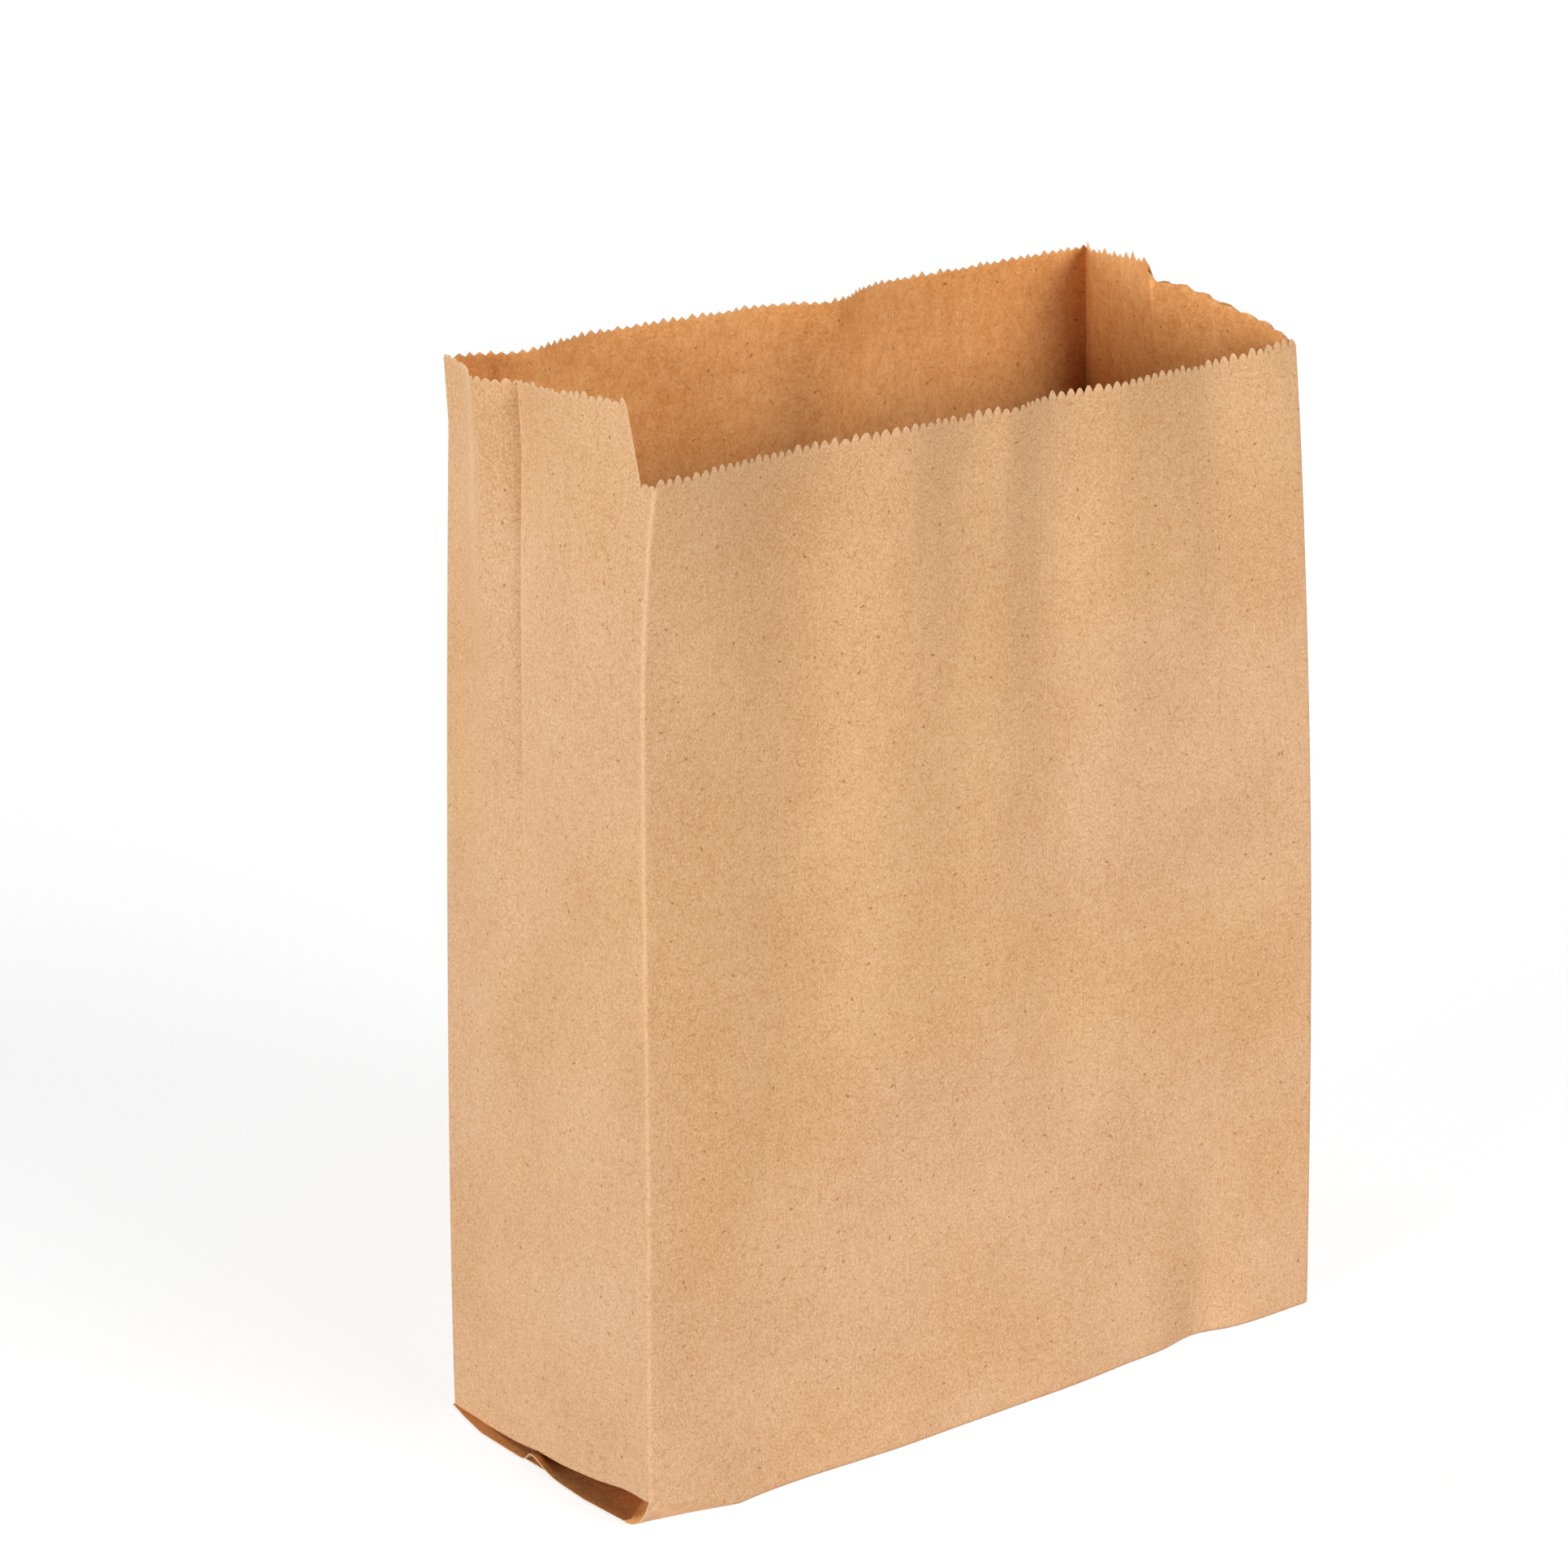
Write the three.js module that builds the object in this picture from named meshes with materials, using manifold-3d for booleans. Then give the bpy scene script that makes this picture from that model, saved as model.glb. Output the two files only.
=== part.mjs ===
// Sanitary disposal bag: a kraft paper liner bag that stands open on its pasted square base.
// One folded sheet: front and back panels, two gussets with a centre crease, a base of glued
// flaps with an open pocket at the left, and a saw-toothed mouth cut lower at the front.
import * as THREE from 'three';
import Module from 'manifold-3d';

// Paper sizes, in millimetres
const WIDTH = 190.5;          // front and back panels, crease to crease
const DEPTH = 83;             // base, front fold to back fold
const HEIGHT = 251;           // back left crease, base fold to the roots of the teeth
const LIP = 13.5;             // how much lower the front panel is cut
const PAPER = 0.3;            // wall, one ply
const BASE_THICKNESS = 0.6;   // base, two glued flaps

// Saw-toothed edge
const TOOTH_PITCH = 2.4;
const TOOTH_HEIGHT = 1.4;
const TOOTH_TIP = 0.7;        // width of the blunt tip

// Slits that part the lowered front panel from the gussets
const SLIT_FROM_FRONT = 4.2;  // from the front crease, round the gusset
const SLIT_SPREAD = 4;        // how far the left gusset's free corner leans back

// The front left corner of the base stands off the floor and opens a pocket under the gusset
const CORNER_LIFT = 8.8;      // foot of the left gusset at the front, above the floor
const CORNER_CURVE = 1.5;     // how late the foot rises towards the front, as a power
const CORNER_RUN = 25;        // along the front fold
const CORNER_TUCK = 9.5;      // back along the side of the base
const FLAP_REACH = 2.6;       // how far the base flap's edge stands out of the pocket
const FLAP_CURVE = 0.5;       // roundness of that edge, as a power

// Tilt of the mouth over the lifted corner
const FRONT_RISE = 3.1;       // front edge at the left, above its right end
const FRONT_CURVE = 3;        // how soon that rise dies out to the right, as a power
// More of the front edge's height: place, spread and rise
const FRONT_BUMPS = [[0.1, 0.06, 0.7], [0.4, 0.1, 1.2], [0.87, 0.07, -1.3]];
const LEFT_RISE = 6.2;        // left gusset at the front, above the back left crease
const BACK_FALL = 2.5;        // back panel at the right, below the back left crease
const RIGHT_RISE = 2.7;       // right gusset at its centre crease, above the back right crease

// How far each corner crease is moved, to the right and to the back, at its foot, at half height
// and at the mouth, and how late the move at the mouth sets in, as powers
const BACK_LEFT = { foot: [0.1, 0], swell: [0.3, 0], mouth: [9.9, -5], late: [1.55, 1] };
const FRONT_LEFT = { foot: [-1.1, 0], swell: [1.2, 0], mouth: [5.3, -11.2], late: [1, 8] };
const FRONT_RIGHT = { foot: [1.25, 0], swell: [2.9, 0], mouth: [-1.2, 5.7], late: [14, 1] };
const BACK_RIGHT = { foot: [0, 0], swell: [0, 0], mouth: [-3.3, -6.6], late: [1, 1] };

// Sharp fold that stands out at the back right crease
const PINCH = 2.2;
const PINCH_REACH = 5;
const PINCH_AT_BASE = 0.3;    // share of it that is left at the base

// Centre creases of the gussets: place and reach as shares of the depth from the front, depth in
const LEFT_CREASE = 0.56;
const LEFT_CREASE_REACH = 0.13;
const LEFT_CREASE_DEPTH = 3;
const RIGHT_CREASE = 0.565;
const RIGHT_CREASE_REACH = 0.4;
const RIGHT_CREASE_DEPTH = 5.5;
const CREASE_AT_BASE = 0.2;   // share of a crease's depth that is left at the base

// Soft waves: place and spread as shares of the panel, height outwards at the mouth in millimetres,
// and how late the wave sets in towards the mouth, as a power
const LEFT_WAVES = [[0.33, 0.15, 9, 3], [0.66, 0.2, 3.5, 3]];
const FRONT_WAVES = [
  [0.23, 0.12, -3.6, 1.5], [0.535, 0.035, 4.2, 8], [0.62, 0.07, -2.2, 1.5], [0.87, 0.055, -2.2, 5],
];
const RIGHT_WAVES = [[0.25, 0.2, 2.5, 3]];
const BACK_WAVES = [[0.45, 0.06, -9, 3], [0.62, 0.12, -2, 3], [0.9, 0.065, -5.5, 3]];
const WAVE_END = 0.06;        // share of a panel in which its waves die out at a crease
const BELLY = 1.6;            // outward swell of the back and the gussets at half height
const FRONT_BELLY = -1.8;     // the front is hollow there

// Dents of the front base fold: place, spread and height
const FRONT_FOOT_WAVES = [[0.21, 0.1, -1.4], [0.76, 0.09, -1.4], [0.83, 0.04, -2.6]];
const FOOT_FADE = 22;         // height over which a dent dies out

// The rim of the right gusset's front half flops over outwards
const TURN_RADIUS = 1.6;
const TURN_ANGLE = 2.85;      // from upright to hanging, in radians
const TURN_STEP = 3;          // width of the step to the upright half, at the crease
// Upright paper above the lip: places as shares of the gusset from its front crease, and heights
const TURN_CREST = [[0, 0.2], [0.07, 0.3], [0.15, 1.8], [0.25, 3.2], [0.39, 6.4], [0.47, 8.1], [0.61, 8.3]];

// Glued lengthwise seam of the back panel: one more ply outside the wall
const SEAM_FROM_CORNER = 24;  // from the back right crease
const SEAM_WIDTH = 16;
const SEAM_SEAT = 0.8;        // share of a ply between the middles of seam and wall

// Steps of the mesh
const ROWS_BELOW_LIP = 15;
const ROWS_ABOVE_LIP = 5;
const PANEL_COLUMNS = 24;
const CORNER_COLUMNS = 4;
const GUSSET_HALF_COLUMNS = 6;
const SEAM_COLUMNS = 2;
const FLAP_POINTS = 10;
const POINTS_PER_MM = 1e4;    // points closer than this are one point
const LEAST_FACING = 0.6;     // limits the miter at a sharp fold

const KRAFT = 0xd9a877;

const { lerp, smoothstep } = THREE.MathUtils;
const slitShare = SLIT_FROM_FRONT / DEPTH;
const cornerShare = CORNER_RUN / WIDTH;
const turnEnd = RIGHT_CREASE - TURN_STEP / DEPTH;

// Corner creases: their place on the base and how they move
const backLeft = { base: [-WIDTH / 2, DEPTH / 2], ...BACK_LEFT };
const frontLeft = { base: [-WIDTH / 2, -DEPTH / 2], ...FRONT_LEFT };
const frontRight = { base: [WIDTH / 2, -DEPTH / 2], ...FRONT_RIGHT };
const backRight = { base: [WIDTH / 2, DEPTH / 2], ...BACK_RIGHT };

// A soft bulge of 1 at its place that dies out over its spread and at both creases
function bulge(s, place, spread) {
  return Math.exp(-(((s - place) / spread) ** 2)) * Math.min(1, s / WAVE_END, (1 - s) / WAVE_END);
}

// Panels run round the bag between two corner creases. foot is how far the lower end of a column
// stands above the floor. lip and rise are how far the front edge's height and the roots of the
// tall teeth stand above their usual height there.
const level = () => 0;
const leftCrease = 1 - LEFT_CREASE;
const leftSlit = 1 - slitShare;
const left = {
  ends: [backLeft, frontLeft],
  length: DEPTH,
  belly: BELLY,
  waves: LEFT_WAVES,
  footWaves: [],
  crease: { place: leftCrease, reach: LEFT_CREASE_REACH, depth: LEFT_CREASE_DEPTH },
  foot: (s) => CORNER_LIFT * s ** CORNER_CURVE,
  lip: (s) => FRONT_RISE * s,
  rise: (s) => LEFT_RISE * s,
};
function frontRise(s) {
  let total = FRONT_RISE * (1 - s) ** FRONT_CURVE;
  for (const [place, spread, rise] of FRONT_BUMPS) total += rise * bulge(s, place, spread);
  return total;
}
const front = {
  ends: [frontLeft, frontRight],
  length: WIDTH,
  belly: FRONT_BELLY,
  waves: FRONT_WAVES,
  footWaves: FRONT_FOOT_WAVES,
  foot: (s) => CORNER_LIFT * Math.max(0, 1 - s / cornerShare),
  lip: frontRise,
  rise: frontRise,
};
const right = {
  ends: [frontRight, backRight],
  length: DEPTH,
  belly: BELLY,
  waves: RIGHT_WAVES,
  footWaves: [],
  crease: { place: RIGHT_CREASE, reach: RIGHT_CREASE_REACH, depth: RIGHT_CREASE_DEPTH },
  pinched: 1,
  foot: level,
  lip: level,
  rise: (s) => (RIGHT_RISE * (1 - s)) / (1 - RIGHT_CREASE) - BACK_FALL,
};
const back = {
  ends: [backRight, backLeft],
  length: WIDTH,
  belly: BELLY,
  waves: BACK_WAVES,
  footWaves: [],
  pinched: 0,
  foot: level,
  lip: level,
  rise: (s) => BACK_FALL * (s - 1),
};

function cornerAt({ base, foot, swell, mouth, late }, z) {
  const t = z / HEIGHT;
  const move = (k) => foot[k] * (1 - t) + swell[k] * Math.sin(Math.PI * t) + mouth[k] * t ** late[k];
  return new THREE.Vector2(base[0] + move(0), base[1] + move(1));
}

// Distance of a panel's paper outwards from the straight line between its corner creases
function bowAt(panel, s, z) {
  const t = z / HEIGHT;
  let bow = panel.belly * 4 * s * (1 - s) * Math.sin(Math.PI * Math.min(1, t));
  for (const [place, spread, height, late] of panel.waves) {
    bow += height * t ** late * bulge(s, place, spread);
  }
  for (const [place, spread, height] of panel.footWaves) {
    bow += height * bulge(s, place, spread) * Math.exp(-z / FOOT_FADE);
  }
  if (panel.crease) {
    const fold = Math.max(0, 1 - Math.abs(s - panel.crease.place) / panel.crease.reach);
    bow -= panel.crease.depth * fold * lerp(CREASE_AT_BASE, 1, t ** 2);
  }
  if (panel.pinched !== undefined) {
    const away = Math.abs(s - panel.pinched);
    const drawnIn = (1 - Math.exp((-away * panel.length) / PINCH_REACH)) * (1 - away);
    bow -= PINCH * drawnIn * lerp(PINCH_AT_BASE, 1, t);
  }
  return bow;
}

// Middle of the paper at share s of a panel and height z
function wallPoint(panel, s, z) {
  const from = cornerAt(panel.ends[0], z);
  const along = cornerAt(panel.ends[1], z).sub(from);
  const outwards = new THREE.Vector2(along.y, -along.x).normalize();
  const p = from.addScaledVector(along, s).addScaledVector(outwards, bowAt(panel, s, z));
  return new THREE.Vector3(p.x, p.y, z);
}

const lipHeight = (panel, s) => HEIGHT - LIP + panel.lip(s);
const aboveLip = (panel, s) => HEIGHT + panel.rise(s) - lipHeight(panel, s);

// Paper below the lip: share 0 is the foot of the panel, share 1 the height of the front edge
function belowLip(panel, s, share) {
  return wallPoint(panel, s, lerp(panel.foot(s), lipHeight(panel, s), share));
}

// Paper above the lip: share 0 is the height of the front edge, share 1 the roots of the tall teeth
function upright(panel, s, share) {
  return wallPoint(panel, s, lipHeight(panel, s) + aboveLip(panel, s) * share);
}

// The left gusset's free corner leans back from its slit
function leaning(panel, s, share) {
  const free = Math.max(0, (s - leftCrease) / (1 - leftCrease));
  const lean = new THREE.Vector3(0, SLIT_SPREAD * free, aboveLip(panel, s));
  return belowLip(panel, s, 1).addScaledVector(lean, share);
}

// Height at a place on a line through points of place and height
function heightOn(line, place) {
  const next = Math.max(1, line.findIndex(([p]) => p >= place));
  const [[fromPlace, from], [toPlace, to]] = line.slice(next - 1, next + 1);
  return lerp(from, to, (place - fromPlace) / (toPlace - fromPlace));
}

// Paper that rises to a crest, bends over outwards and hangs down outside the wall. The bend
// ends in a step at the gusset's crease, where the paper stands up again.
function turnedOut(panel, s, share) {
  const tall = aboveLip(panel, s);
  const stands = smoothstep(s, turnEnd, RIGHT_CREASE);
  const crest = lerp(heightOn(TURN_CREST, s), tall, stands);
  const firstRow = 1 / ROWS_ABOVE_LIP;
  const pastFirstRow = (share - firstRow) / (1 - firstRow);
  const bent = share < firstRow ? crest * (share / firstRow) : lerp(crest, tall, pastFirstRow);
  const paper = lerp(bent, tall * share, stands);
  if (paper <= crest) return upright(panel, s, paper / tall);
  const angle = Math.min((paper - crest) / TURN_RADIUS, TURN_ANGLE);
  const hanging = paper - crest - angle * TURN_RADIUS;
  const point = upright(panel, s, crest / tall);
  point.x += TURN_RADIUS * (1 - Math.cos(angle)) + hanging * Math.sin(angle);
  point.z += TURN_RADIUS * Math.sin(angle) + hanging * Math.cos(angle);
  return point;
}

// Stretches of the girth in order. A tall one stands above the lip.
const halfGusset = { columns: GUSSET_HALF_COLUMNS, tall: true };
const lowCorner = { columns: 1, tall: false, paper: upright };
const stretches = [
  { panel: left, from: 0, to: leftCrease, paper: leaning, ...halfGusset },
  { panel: left, from: leftCrease, to: leftSlit, paper: leaning, ...halfGusset },
  { panel: left, from: leftSlit, to: 1, ...lowCorner },
  { panel: front, from: 0, to: cornerShare, columns: CORNER_COLUMNS, tall: false, paper: upright },
  { panel: front, from: cornerShare, to: 1, columns: PANEL_COLUMNS, tall: false, paper: upright },
  { panel: right, from: 0, to: slitShare, ...lowCorner },
  { panel: right, from: slitShare, to: turnEnd, paper: turnedOut, ...halfGusset },
  { panel: right, from: turnEnd, to: RIGHT_CREASE, columns: 1, tall: true, paper: turnedOut },
  { panel: right, from: RIGHT_CREASE, to: 1, paper: upright, ...halfGusset },
  { panel: back, from: 0, to: 1, columns: PANEL_COLUMNS, tall: true, paper: upright },
];

// A sheet of triangles through the middle of the paper, with shared points
class Sheet {
  points = [];
  triangles = [];
  known = new Map();

  add(point) {
    const key = point.toArray().map((v) => Math.round(v * POINTS_PER_MM)).join();
    if (!this.known.has(key)) {
      this.known.set(key, this.points.length);
      this.points.push(point);
    }
    return this.known.get(key);
  }

  triangle(a, b, c) {
    if (a !== b && b !== c && c !== a) this.triangles.push([a, b, c]);
  }

  // Two rows of any number of points, joined from end to end
  strip(lower, upper) {
    let i = 0;
    let j = 0;
    while (i < lower.length - 1 || j < upper.length - 1) {
      const nextLower = (i + 1) / (lower.length - 1);
      const nextUpper = (j + 1) / (upper.length - 1);
      if (nextLower <= nextUpper) {
        this.triangle(lower[i], lower[i + 1], upper[j]);
        i += 1;
      } else {
        this.triangle(lower[i], upper[j + 1], upper[j]);
        j += 1;
      }
    }
  }

  // Direction from the middle of the paper to its outer face at each point, mitred at folds
  miters() {
    const sums = this.points.map(() => new THREE.Vector3());
    const normals = this.points.map(() => []);
    for (const corners of this.triangles) {
      const [a, b, c] = corners.map((i) => this.points[i]);
      const normal = new THREE.Triangle(a, b, c).getNormal(new THREE.Vector3());
      corners.forEach((corner, k) => {
        const toNext = this.points[corners[(k + 1) % 3]].clone().sub(this.points[corner]);
        const toLast = this.points[corners[(k + 2) % 3]].clone().sub(this.points[corner]);
        const weight = toNext.angleTo(toLast);
        sums[corner].addScaledVector(normal, weight);
        normals[corner].push([normal, weight]);
      });
    }
    return sums.map((sum, i) => {
      const direction = sum.normalize();
      const onFloor = this.points[i].z === 0;
      if (onFloor) direction.setZ(0).normalize();
      let facing = 0;
      let weights = 0;
      for (const [normal, weight] of normals[i]) {
        facing += weight * Math.max(0, normal.dot(direction));
        weights += weight;
      }
      return direction.divideScalar(Math.max(LEAST_FACING, facing / weights));
    });
  }

  // Closed shell of the given thickness round the sheet
  thicken(thickness) {
    const miters = this.miters();
    const count = this.points.length;
    const outer = this.points.map((p, i) => p.clone().addScaledVector(miters[i], thickness / 2));
    const inner = this.points.map((p, i) => p.clone().addScaledVector(miters[i], -thickness / 2));
    const faces = [];
    const open = new Map();
    for (const [a, b, c] of this.triangles) {
      faces.push([a, b, c], [count + a, count + c, count + b]);
      for (const [from, to] of [[a, b], [b, c], [c, a]]) {
        if (!open.delete(`${to},${from}`)) open.set(`${from},${to}`, [from, to]);
      }
    }
    for (const [from, to] of open.values()) {
      faces.push([to, from, count + from], [to, count + from, count + to]);
    }
    return { points: [...outer, ...inner], faces };
  }
}

const shares = (from, to, count) => Array.from({ length: count + 1 }, (_, i) => lerp(from, to, i / count));

// Rows of points of a stretch from its foot to the last row under its teeth
function stretchRows(sheet, { panel, from, to, columns, tall, paper }) {
  const places = shares(from, to, columns);
  const rows = [];
  for (let r = 0; r < ROWS_BELOW_LIP; r += 1) {
    rows.push(places.map((s) => sheet.add(belowLip(panel, s, r / ROWS_BELOW_LIP))));
  }
  for (let r = 0; tall && r < ROWS_ABOVE_LIP; r += 1) {
    rows.push(places.map((s) => sheet.add(paper(panel, s, r / ROWS_ABOVE_LIP))));
  }
  return rows;
}

// Teeth along the upper edge of a stretch, on the last row under them
function addTeeth(sheet, lastRow, { panel, from, to, tall, paper }) {
  const edge = tall ? 1 : 0;
  const count = Math.max(1, Math.round(((to - from) * panel.length) / TOOTH_PITCH));
  const step = (to - from) / count;
  const roots = shares(from, to, count).map((s) => sheet.add(paper(panel, s, edge)));
  sheet.strip(lastRow, roots);
  for (let i = 0; i < count; i += 1) {
    const middle = from + step * (i + 0.5);
    const halfTip = (step * TOOTH_TIP) / TOOTH_PITCH / 2;
    const tip = edge + TOOTH_HEIGHT / aboveLip(panel, middle);
    const near = sheet.add(paper(panel, middle - halfTip, tip));
    const far = sheet.add(paper(panel, middle + halfTip, tip));
    sheet.triangle(roots[i], roots[i + 1], far);
    sheet.triangle(roots[i], far, near);
  }
}

// Walls of the bag. Returns the feet of the panels, as rows of points.
function addWalls(sheet) {
  const feet = new Map([left, front, right, back].map((panel) => [panel, []]));
  for (const stretch of stretches) {
    const rows = stretchRows(sheet, stretch);
    for (let r = 0; r + 1 < rows.length; r += 1) sheet.strip(rows[r], rows[r + 1]);
    addTeeth(sheet, rows.at(-1), stretch);
    feet.get(stretch.panel).push(...rows[0]);
  }
  return feet;
}

// Pleat under the left gusset and the folded front corner: the walls of the open pocket
function addPocket(sheet, feet) {
  const gussetFoot = feet.get(left);
  const frontFoot = feet.get(front);
  const apex = sheet.add(new THREE.Vector3((DEPTH - WIDTH) / 2, 0, BASE_THICKNESS / 2));
  const tuck = sheet.add(new THREE.Vector3(cornerAt(frontLeft, 0).x, CORNER_TUCK - DEPTH / 2, 0));
  for (let i = 0; i + 1 < gussetFoot.length; i += 1) {
    sheet.triangle(gussetFoot[i + 1], gussetFoot[i], apex);
  }
  sheet.triangle(frontFoot[0], apex, tuck);
  const onFloor = frontFoot.findIndex((id) => sheet.points[id].z === 0);
  for (let i = 0; i < onFloor; i += 1) {
    sheet.triangle(tuck, frontFoot[i + 1], frontFoot[i]);
  }
  return [tuck, ...frontFoot.slice(onFloor)];
}

// Free edge of the base flap in the pocket, from the back left foot to the tucked corner
function flapEdge(from, to) {
  return shares(0, 1, FLAP_POINTS).slice(1, -1).map((share) => {
    const point = from.clone().lerp(to, share);
    point.x -= FLAP_REACH * Math.sin(Math.PI * share) ** FLAP_CURVE;
    return point;
  });
}

// Glued seam: a strip of the back panel, one ply further out
function seamSheet() {
  const sheet = new Sheet();
  const from = SEAM_FROM_CORNER / WIDTH;
  const places = shares(from, from + SEAM_WIDTH / WIDTH, SEAM_COLUMNS);
  const outwards = new THREE.Vector3(0, PAPER * SEAM_SEAT, 0);
  const rows = [];
  for (let r = 0; r <= ROWS_BELOW_LIP; r += 1) {
    rows.push(places.map((s) => sheet.add(belowLip(back, s, r / ROWS_BELOW_LIP).add(outwards))));
  }
  for (let r = 1; r < ROWS_ABOVE_LIP; r += 1) {
    rows.push(places.map((s) => sheet.add(upright(back, s, r / ROWS_ABOVE_LIP).add(outwards))));
  }
  for (let r = 0; r + 1 < rows.length; r += 1) sheet.strip(rows[r], rows[r + 1]);
  return sheet;
}

const wasm = await Module();
wasm.setup();

function solidFrom({ points, faces }) {
  const vertProperties = new Float32Array(points.flatMap((p) => p.toArray()));
  const triVerts = new Uint32Array(faces.flat());
  return new wasm.Manifold(new wasm.Mesh({ numProp: 3, vertProperties, triVerts }));
}

// Flat plate with the outline of the base folds
function basePlate(outline) {
  const shape = new THREE.Shape(outline.map((p) => new THREE.Vector2(p.x, p.y)));
  const plate = new THREE.ExtrudeGeometry(shape, { depth: BASE_THICKNESS, bevelEnabled: false });
  const corner = plate.getAttribute('position');
  const sheet = new Sheet();
  for (let i = 0; i < corner.count; i += 3) {
    const ids = [i, i + 1, i + 2].map((k) => sheet.add(new THREE.Vector3().fromBufferAttribute(corner, k)));
    sheet.triangle(...ids);
  }
  return { points: sheet.points, faces: sheet.triangles };
}

function bagGeometry() {
  const sheet = new Sheet();
  const feet = addWalls(sheet);
  const frontFold = addPocket(sheet, feet);
  const baseRow = [...frontFold, ...feet.get(right), ...feet.get(back)];
  const folds = [...new Set(baseRow)].map((id) => sheet.points[id]);
  const outline = [...folds, ...flapEdge(folds.at(-1), folds[0])];
  const bag = solidFrom(sheet.thicken(PAPER))
    .add(solidFrom(basePlate(outline)))
    .add(solidFrom(seamSheet().thicken(PAPER)));
  const mesh = bag.getMesh();
  const geometry = new THREE.BufferGeometry();
  geometry.setAttribute('position', new THREE.BufferAttribute(mesh.vertProperties, 3));
  geometry.setIndex(new THREE.BufferAttribute(mesh.triVerts, 1));
  geometry.computeBoundingBox();
  const middle = geometry.boundingBox.getCenter(new THREE.Vector3());
  geometry.translate(-middle.x, -middle.y, -geometry.boundingBox.min.z);
  geometry.computeVertexNormals();
  return geometry;
}

const kraftPaper = new THREE.MeshStandardMaterial({ color: KRAFT, roughness: 0.85, metalness: 0 });
const paperBag = new THREE.Mesh(bagGeometry(), kraftPaper);
paperBag.name = 'paper_bag';

const bag = new THREE.Group();
bag.add(paperBag);

export default bag;
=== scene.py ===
"""Looks of a kraft paper sanitary disposal bag that stands open on its pasted base."""
import math

import bpy
import numpy as np
from mathutils import Matrix, Vector


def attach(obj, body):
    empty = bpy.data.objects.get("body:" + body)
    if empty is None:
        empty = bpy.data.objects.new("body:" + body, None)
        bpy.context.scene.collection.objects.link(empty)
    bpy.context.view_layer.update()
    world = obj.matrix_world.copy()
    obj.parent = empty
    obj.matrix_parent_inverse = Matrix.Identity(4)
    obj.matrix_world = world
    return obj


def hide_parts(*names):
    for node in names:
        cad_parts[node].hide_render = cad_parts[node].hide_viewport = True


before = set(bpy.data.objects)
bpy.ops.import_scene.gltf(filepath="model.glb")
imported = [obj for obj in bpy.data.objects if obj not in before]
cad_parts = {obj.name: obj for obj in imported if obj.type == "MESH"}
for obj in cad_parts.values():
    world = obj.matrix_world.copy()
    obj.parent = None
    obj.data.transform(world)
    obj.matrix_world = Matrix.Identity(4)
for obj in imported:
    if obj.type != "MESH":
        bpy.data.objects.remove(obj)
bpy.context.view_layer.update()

MM = 0.001
TINY = 1e-9
NODE = "paper_bag"
rng = np.random.default_rng(11)

# Paper sizes in millimetres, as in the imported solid
WIDTH = 190.5
DEPTH = 83.0
HEIGHT = 251.0
LIP = 14.0                    # from the front's lip up to the full height
GUSSET_PAPER = 88.9           # flat paper round a gusset
RIGHT_CREASE = 0.565          # centre creases, as shares of their gussets
LEFT_CREASE = 0.44
SOLID_PAPER = 0.3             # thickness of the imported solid's paper
PAPER = 0.22                  # and of the paper here

# Saw-toothed edge
TOOTH_PITCH = 2.4
TOOTH_ROOT = 0.5              # paper between the last row of the wall and the roots
TOOTH_PHASES = np.array([0, 0.07, 0.2, 0.35, 0.5, 0.65, 0.8, 0.93])
SCALLOP = 0.8                 # power that shapes a rounded tooth
# Teeth of each stretch of the mouth: their height, whether they are rounded and how uneven they are
RIM_TEETH = (1.0, False, 0.3)
RIGHT_TEETH = (1.7, False, 0.5)
BACK_TEETH = (1.05, False, 0.35)
LEFT_BACK_TEETH = (1.1, True, 0.5)
LEFT_FRONT_TEETH = (1.2, True, 0.6)
FRONT_TEETH = (2.0, True, 0.25)
TAB_TEETH = (0.8, True, 0.25)

# Mouth: slits, and rises and drops of its edge
SLIT_FROM_FRONT = 4.2
SLIT_SPREAD = 4.0             # opening of the left slit at its top
LEFT_LEAN = 0.4               # outward lean of the left gusset above the lip
FRONT_LIFT = 3.1              # rise of the front's lip at its left end
FRONT_RISES = [(0.1, 0.06, 0.7), (0.4, 0.1, 1.2), (0.455, 0.03, -0.9), (0.87, 0.07, -1.6)]
BACK_DROP = 0.5
RIGHT_DROP = 3.0
RIGHT_RISE = 2.7
LEFT_RISE = 6.2

# Rim of the right gusset's front half, flopped outwards
TURN_RADIUS = 0.7
TURN_ANGLE = 3.0
TURN_BUMP = 0.35
TURN_BUMP_LENGTH = 6.5
# Shares of the gusset from its front crease, and the crest's height above the lip there
TURN_CREST = [(0, 0.3), (0.072, 0.5), (0.154, 2.6), (0.253, 4.1), (0.386, 7.2), (0.47, 9.0), (0.6, 9.2)]

# Lengthwise glued seam on the back, from the back right crease
SEAM_FROM_CORNER = 24.0
SEAM_WIDTH = 16.0
SEAM_SEAT = 0.95              # share of a ply between the middles of seam and wall

# Swell and waves of the panels
BELLY = 1.6
FRONT_BELLY = -1.8
WAVE_END = 0.06               # share of a panel over which its waves die out at a crease
FOOT_FADE = 22.0
FOLD = 0.9                    # height of the rounded fold at the foot
FOLD_PULL = 0.6               # share of it by which the foot draws in

# Centre creases
CREASE_AT_BASE = 0.2
GROOVE = 0.8                  # fine groove that the left centre crease leaves at the mouth
GROOVE_HALF = 0.8             # half of its width

# Sharp fold that stands out at the back right crease, from the gusset and from the back
PINCH_GUSSET = 5.0
PINCH_BACK = 0.6
PINCH_REACH = 6.5
PINCH_AT_BASE = 0.3

# Corner creases are rounded by some rounds of smoothing, over some columns to each side
SOFT_ROUNDS = 3
SOFT_COLUMNS = 2

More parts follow.
